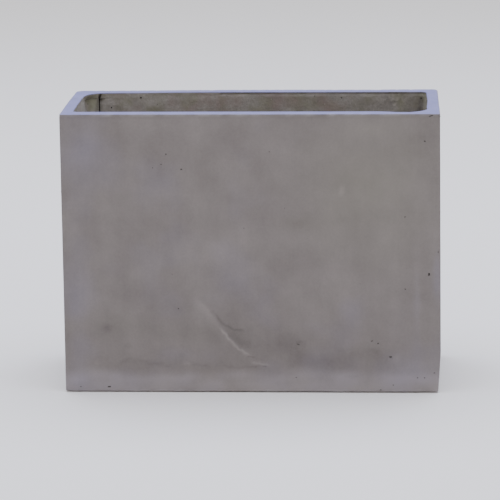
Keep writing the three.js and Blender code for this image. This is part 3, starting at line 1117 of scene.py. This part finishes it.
def corner_fillet(corner, side_x, side_y, radius):
    node = f"corner_fillet_{corner}"
    centre = Vector((side_x * (MOUTH_X - radius), side_y * (MOUTH_Y - radius), 0))
    shape = new_shape()
    tone, painted_shade, wear_and_painted_light = painted_layers(shape, "tone", "painted_shade", "wear_and_painted_light")
    steps = round((LAY_UP_TOP - LAY_UP_FOOT) / GRID)
    heights = [LAY_UP_FOOT + (LAY_UP_TOP - LAY_UP_FOOT) * step / steps for step in range(steps + 1)]
    line = [shape.verts.new((centre.x + side_x * radius, centre.y, z)) for z in heights]
    edges = [shape.edges.new(pair) for pair in zip(line, line[1:])]
    quarter = side_x * side_y * math.pi / 2
    bmesh.ops.spin(shape, geom=line + edges, cent=centre, axis=(0, 0, 1), angle=quarter, steps=ARC_STEPS)
    front = set(shape.verts)
    bmesh.ops.extrude_face_region(shape, geom=list(shape.faces), use_keep_orig=True)
    for vert in shape.verts:
        out = Vector((vert.co.x - centre.x, vert.co.y - centre.y, 0)).normalized()
        if vert in front:
            # The fillet takes the inside's painted light and painted shadow
            vert[tone] = inside_tone(vert.co)
            vert[wear_and_painted_light] = painted_pale_light(vert.co)
            if corner == "back_left":
                below_rim = RIM - vert.co.z
                crack_x = JOINT_X - CRACK_LEAN * below_rim
                shade = JOINT_SHADE * (1 - smooth(CRACK_REACH / 2, CRACK_REACH, below_rim))
                vert[painted_shade] = shade * math.exp(-(((vert.co.x - crack_x) / SOFT_SIDE) ** 2))
            vert.co -= trowelled(vert.co) * out
        else:
            reach_x = (LAY_UP_X - abs(centre.x)) / max(abs(out.x), TINY)
            reach_y = (LAY_UP_Y - abs(centre.y)) / max(abs(out.y), TINY)
            place = centre + min(reach_x, reach_y) * out
            vert.co = Vector((place.x, place.y, vert.co.z))
    bmesh.ops.recalc_face_normals(shape, faces=shape.faces)
    make_piece(f"drawn_fillet_{corner}", shape, [laid_cement], [node])


for corner, (side_x, side_y), radius in zip(CORNERS, CORNER_SIGNS, MOUTH_RADII):
    corner_fillet(corner, side_x, side_y, radius)

# %% [markdown]
# ## The floor slab
#
# The slab is poured over the mesh and struck off with a float, level round each drain and a little hollow
# between them. Its top is made in two halves. In each, rings of points grow from the round drain hole out
# to the half's straight outline, and are bridged like the shell's. The halves are joined, and the outline
# is extruded down.

# %% Float the floor slab
slab_low, slab_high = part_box("base_slab")
SLAB_RINGS = 28
RING_CROWDING = 1.3  # above 1, the rings lie closer together near the drain
HOLLOW_LENGTH = 45 * MM
HOLLOW_DEPTH = 0.9 * MM
LEVEL_ROUND_DRAIN = 26 * MM


def half_outline(side):
    """Points round one half of the slab, anticlockwise from the middle of its straight inner edge."""
    low_x, high_x = sorted((0, side * slab_high.x))
    corners = [(high_x, slab_low.y), (high_x, slab_high.y), (low_x, slab_high.y), (low_x, slab_low.y)]
    points = []
    for start, end in zip(corners[-1:] + corners[:-1], corners):
        steps = round((Vector(end) - Vector(start)).length / GRID)
        points += [Vector(start).lerp(Vector(end), step / steps).to_3d() for step in range(steps)]
    return points


def floated(point, drain):
    """How far the slab's top lies below its true level."""
    hollow = HOLLOW_DEPTH * (1 + noise.fractal(point / HOLLOW_LENGTH, 0.7, 2.2, 4))
    away = Vector((point.x - drain.x, point.y - drain.y)).length
    return max(hollow, 0) * smooth(LEVEL_ROUND_DRAIN, 2 * LEVEL_ROUND_DRAIN, away)


slab = new_shape()
for side, end in ((-1, "left"), (1, "right")):
    drain, sleeve_radius = middle_and_radius(f"drain_sleeve_{end}")
    outline = half_outline(side)
    hole = []
    for point in outline:
        way = Vector((point.x - drain.x, point.y - drain.y, 0)).normalized()
        hole.append(Vector((drain.x, drain.y, 0)) + way * (sleeve_radius + GAP))
    grown = []
    for step in range(SLAB_RINGS + 1):
        share = (step / SLAB_RINGS) ** RING_CROWDING
        ring = [a.lerp(b, share) for a, b in zip(hole, outline)]
        grown.append([Vector((p.x, p.y, slab_high.z - floated(p, drain))) for p in ring])
    bridge_rings(slab, grown)
bmesh.ops.remove_doubles(slab, verts=slab.verts, dist=MERGE)
outline = [edge for edge in slab.edges if edge.is_boundary]
skirt = bmesh.ops.extrude_edge_only(slab, edges=outline)["geom"]
for vert in [item for item in skirt if isinstance(item, bmesh.types.BMVert)]:
    vert.co.z = slab_low.z
foot_edges = [item for item in skirt if isinstance(item, bmesh.types.BMEdge) and item.is_boundary]
bmesh.ops.triangle_fill(slab, edges=foot_edges, use_beauty=True)
bmesh.ops.recalc_face_normals(slab, faces=slab.faces)
print("the slab has", sum(not edge.is_manifold for edge in slab.edges), "open edges")
make_piece("floated_base_slab", slab, [laid_cement], ["base_slab"])

# %% [markdown]
# ## The floor bead
#
# Where the walls meet the slab, a bead of mortar was run round with a wet finger, so that water cannot
# creep behind the walls. Its section is a small triangle with a hollow front. Rings follow the mouth's plan
# through the section's points, and the last ring is bridged to the first.

# %% Run the floor bead
bead_low, bead_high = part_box("floor_bead")
BEAD = bead_high.z - bead_low.z
BEAD_LIP = 0.6 * MM
BEAD_STEPS = 5
# How high and how long the marks of a finger and of the grit under it are
PRESS_MARKS = ((0.5 * MM, 12 * MM), (0.3 * MM, 5 * MM))

section = [(GAP, bead_low.z), (GAP, bead_high.z)]
for step in range(BEAD_STEPS + 1):
    turn = step / BEAD_STEPS * math.pi / 2
    section.append((GAP + BEAD_LIP + BEAD * (1 - math.cos(turn)), bead_high.z - BEAD * math.sin(turn)))
bead = new_shape()
bead_rings = [mouth_ring(inset, z) for inset, z in section]
bead_verts = bridge_rings(bead, bead_rings, closed=True)[0]
bead.normal_update()
for ring in bead_verts[2:-1]:
    for vert in ring:
        pressed = sum(height * noise.noise(vert.co / length) for height, length in PRESS_MARKS)
        vert.co += pressed * vert.normal
bmesh.ops.recalc_face_normals(bead, faces=bead.faces)
make_piece("run_floor_bead", bead, [laid_cement], ["floor_bead"])

# %% [markdown]
# ## Rubber and plastic
#
# The drain plugs and foot pads are black rubber: the plugs are moulded and the pads punched from sheet,
# which leaves a dull skin that greys with dust. The sleeves are grey PVC pipe, drawn out lengthwise, so
# their faint lines run up and down. A fine speckle drawn at 1.5 mm stands for the real skin, which is finer
# than the eye can see.

# %% Rubber and PVC
plain_finishes = {}
for name, dark, pale, speckle_mm, stretch, rough_low, rough_high in (
    ("moulded_black_rubber", "#1b1b1c", "#38383a", 1.5, 1, 0.55, 0.8),
    ("drawn_grey_pvc", "#747677", "#8f9293", 1.5, 0.06, 0.35, 0.55),
):
    finish = bpy.data.materials.new(name)
    finish.use_nodes = True
    tree = finish.node_tree
    place = add_node(tree, "ShaderNodeTexCoord").outputs["Object"]
    drawn = add_node(tree, "ShaderNodeMapping", {"Vector": place, "Scale": (1, 1, stretch)}).outputs["Vector"]
    speckle = add_node(
        tree, "ShaderNodeTexNoise", {"Vector": drawn, "Scale": per(speckle_mm), "Detail": 4}
    ).outputs["Fac"]
    colour = add_node(
        tree, "ShaderNodeMix", {"Factor": speckle, 6: linear(dark), 7: linear(pale)}, data_type="RGBA"
    ).outputs[2]
    roughness = add_node(
        tree, "ShaderNodeMapRange", {"Value": speckle, "To Min": rough_low, "To Max": rough_high}
    ).outputs["Result"]
    relief = add_node(
        tree, "ShaderNodeBump", {"Height": speckle, "Strength": 0.4, "Distance": 0.2 * MM}
    ).outputs["Normal"]
    shader = tree.nodes["Principled BSDF"]
    tree.links.new(colour, shader.inputs["Base Color"])
    tree.links.new(roughness, shader.inputs["Roughness"])
    tree.links.new(relief, shader.inputs["Normal"])
    plain_finishes[name] = finish
rubber = plain_finishes["moulded_black_rubber"]
pvc = plain_finishes["drawn_grey_pvc"]
print("made", ", ".join(plain_finishes))

# %% [markdown]
# ## Glass scrim
#
# The reinforcing mesh is glass yarn, woven open at 5 mm and dipped in resin, which leaves it creamy white
# and a little glossy. It lies hidden in the cement. Three sets of bands, one along each axis, cross in each
# sheet.

# %% Glass scrim
SCRIM_PITCH = 5
scrim = bpy.data.materials.new("woven_glass_scrim")
scrim.use_nodes = True
tree = scrim.node_tree
place = add_node(tree, "ShaderNodeTexCoord").outputs["Object"]
yarn = None
for axis in "XYZ":
    # The wave node repeats a band every pi / 10 of its scaled length, so this scale gives the true pitch
    bands = add_node(
        tree,
        "ShaderNodeTexWave",
        {"Vector": place, "Scale": math.pi / 10 * per(SCRIM_PITCH), "Distortion": 0.6},
        bands_direction=axis,
    ).outputs["Fac"]
    if yarn is not None:
        bands = add_node(tree, "ShaderNodeMath", {0: yarn, 1: bands}, operation="MAXIMUM").outputs[0]
    yarn = bands
colour = add_node(
    tree, "ShaderNodeMix", {"Factor": yarn, 6: linear("#9a968a"), 7: linear("#efece0")}, data_type="RGBA"
).outputs[2]
relief = add_node(
    tree, "ShaderNodeBump", {"Height": yarn, "Strength": 0.8, "Distance": 0.4 * MM}
).outputs["Normal"]
shader = tree.nodes["Principled BSDF"]
tree.links.new(colour, shader.inputs["Base Color"])
tree.links.new(relief, shader.inputs["Normal"])
shader.inputs["Roughness"].default_value = 0.5
print("made", scrim.name)

# %% [markdown]
# The sleeves and the mesh sheets already have the right shape, so they keep their own meshes and only take
# their finish.

# %% Dress the nodes whose shape is already right
dressed = {f"drain_sleeve_{end}": pvc for end in ("left", "right")}
for sheet in ("front", "back", "left", "right", "floor"):
    dressed[f"glass_mesh_{sheet}"] = scrim
for node, finish in dressed.items():
    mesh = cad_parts[node].data
    mesh.materials.clear()
    mesh.materials.append(finish)
print("dressed", ", ".join(dressed))

# %% [markdown]
# ## Drain plugs and foot pads
#
# A plug is a turned shape, so its half outline is drawn once and spun about its own upright axis. The
# outline runs from the tip of the shank, out under the flange, and up round the knob. The pads are spun in
# the same way.

# %% Spinning helpers
SPIN_STEPS = 64


def spun(name, node, outline, body):
    """Spins an outline of (radius, height) points about the upright axis through the node's middle."""
    middle = middle_and_radius(node)[0]
    centre = Vector((middle.x, middle.y, 0))
    shape = bmesh.new()
    line = [shape.verts.new(centre + Vector((radius, 0, z))) for radius, z in outline]
    edges = [shape.edges.new(pair) for pair in zip(line, line[1:])]
    bmesh.ops.spin(
        shape,
        geom=line + edges,
        cent=centre,
        axis=(0, 0, 1),
        angle=2 * math.pi,
        steps=SPIN_STEPS,
        use_merge=True,
    )
    bmesh.ops.remove_doubles(shape, verts=shape.verts, dist=MERGE)
    bmesh.ops.recalc_face_normals(shape, faces=shape.faces)
    make_piece(name, shape, [rubber], [node], body)


def quarter_round(r, z, reach_r, reach_z, turn_from, turn_to, steps=5):
    """Points round part of an ellipse about a middle, between two directions in degrees."""
    turns = [math.radians(turn_from + (turn_to - turn_from) * step / steps) for step in range(steps + 1)]
    return [(r + reach_r * math.cos(turn), z + reach_z * math.sin(turn)) for turn in turns]


# %% Spin the plugs and the pads
TIP_EDGE = 1.5 * MM
PLUG_TAPER = 1.2 * MM
FLANGE = 4 * MM
FLANGE_EDGE = 1.2 * MM
NECK_RADIUS = 5 * MM
NECK = 7 * MM
NECK_ROUND = 2 * MM
KNOB_RADIUS = 9 * MM
SLEEVE_WALL = 2.5 * MM
PAD_EDGE = 0.6 * MM

for side in ("left", "right"):
    low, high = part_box(f"drain_plug_{side}")
    flange_radius = (high.x - low.x) / 2
    shank_radius = middle_and_radius(f"drain_sleeve_{side}")[1] - SLEEVE_WALL - GAP
    tip_radius = shank_radius - PLUG_TAPER
    flange_foot = slab_high.z + GAP
    flange_head = flange_foot + FLANGE
    knob_foot = flange_head + NECK
    outline = [(0, low.z)]
    outline += quarter_round(tip_radius - TIP_EDGE, low.z + TIP_EDGE, TIP_EDGE, TIP_EDGE, -90, 0)
    outline += [(shank_radius, flange_foot)]
    corner_r = flange_radius - FLANGE_EDGE
    lower_z = flange_foot + FLANGE_EDGE
    upper_z = flange_head - FLANGE_EDGE
    for corner_z, turn_from, turn_to in ((lower_z, -90, 0), (upper_z, 0, 90)):
        outline += quarter_round(corner_r, corner_z, FLANGE_EDGE, FLANGE_EDGE, turn_from, turn_to)
    neck_r = NECK_RADIUS + NECK_ROUND
    outline += quarter_round(neck_r, flange_head + NECK_ROUND, NECK_ROUND, NECK_ROUND, 270, 180)
    knob_middle = (knob_foot + high.z) / 2
    outline += quarter_round(0, knob_middle, KNOB_RADIUS, high.z - knob_middle, -50, 90, steps=14)
    spun(f"moulded_plug_{side}", f"drain_plug_{side}", outline, f"plug_{side}")
    for end in ("front", "back"):
        low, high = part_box(f"foot_pad_{end}_{side}")
        corner_r = (high.x - low.x) / 2 - PAD_EDGE
        outline = [(0, low.z)]
        outline += quarter_round(corner_r, low.z + PAD_EDGE, PAD_EDGE, PAD_EDGE, -90, 0, steps=3)
        outline += quarter_round(corner_r, high.z - PAD_EDGE, PAD_EDGE, PAD_EDGE, 0, 90, steps=3)
        outline += [(0, high.z)]
        spun(f"rubber_pad_{end}_{side}", f"foot_pad_{end}_{side}", outline, "planter")

# %% [markdown]
# ## Floor and lights
#
# The planter stands on a wide pale floor. One large soft light hangs above it and is slightly blue, as an
# overcast sky is, so the rim is bright and cool. A second soft light, slightly warm, stands behind the
# camera and fills the front.

# %% Set the stage
FLOOR_RADIUS = 14
FLOOR_WHITE = "#fdfaf6"
SKY_BLUE = "#dbe4ff"
FILL_WHITE = "#fff4ea"
WORLD_WHITE = "#fffdfb"
WORLD_STRENGTH = 0.75
SKY_WATTS = 330
FILL_WATTS = 20

floor_finish = bpy.data.materials.new("pale_studio_floor")
floor_finish.use_nodes = True
floor_shader = floor_finish.node_tree.nodes["Principled BSDF"]
floor_shader.inputs["Base Color"].default_value = linear(FLOOR_WHITE)
floor_shader.inputs["Roughness"].default_value = 0.9
ground = bmesh.new()
bmesh.ops.create_circle(ground, segments=96, radius=FLOOR_RADIUS, cap_ends=True)
floor_mesh = bpy.data.meshes.new("studio_floor")
ground.to_mesh(floor_mesh)
ground.free()
floor_mesh.materials.append(floor_finish)
studio_floor = bpy.data.objects.new("studio_floor", floor_mesh)
bpy.context.scene.collection.objects.link(studio_floor)


def soft_light(name, place, aim, size, power, hex_colour):
    lamp = bpy.data.lights.new(name, "AREA")
    lamp.size = size
    lamp.energy = power
    lamp.color = linear(hex_colour)[:3]
    light = bpy.data.objects.new(name, lamp)
    light.location = place
    light.rotation_euler = (Vector(aim) - Vector(place)).to_track_quat("-Z", "Y").to_euler()
    bpy.context.scene.collection.objects.link(light)


soft_light("overhead_sky", (0, 0.6, 4.6), (0, 0.3, 0), 5.0, SKY_WATTS, SKY_BLUE)
soft_light("front_fill", (0.6, -4.5, 2.0), (0, 0, 0.25), 2.5, FILL_WATTS, FILL_WHITE)

world = bpy.data.worlds.new("studio")
world.use_nodes = True
world.node_tree.nodes["Background"].inputs["Color"].default_value = linear(WORLD_WHITE)
world.node_tree.nodes["Background"].inputs["Strength"].default_value = WORLD_STRENGTH
bpy.context.scene.world = world
print("the stage is set")
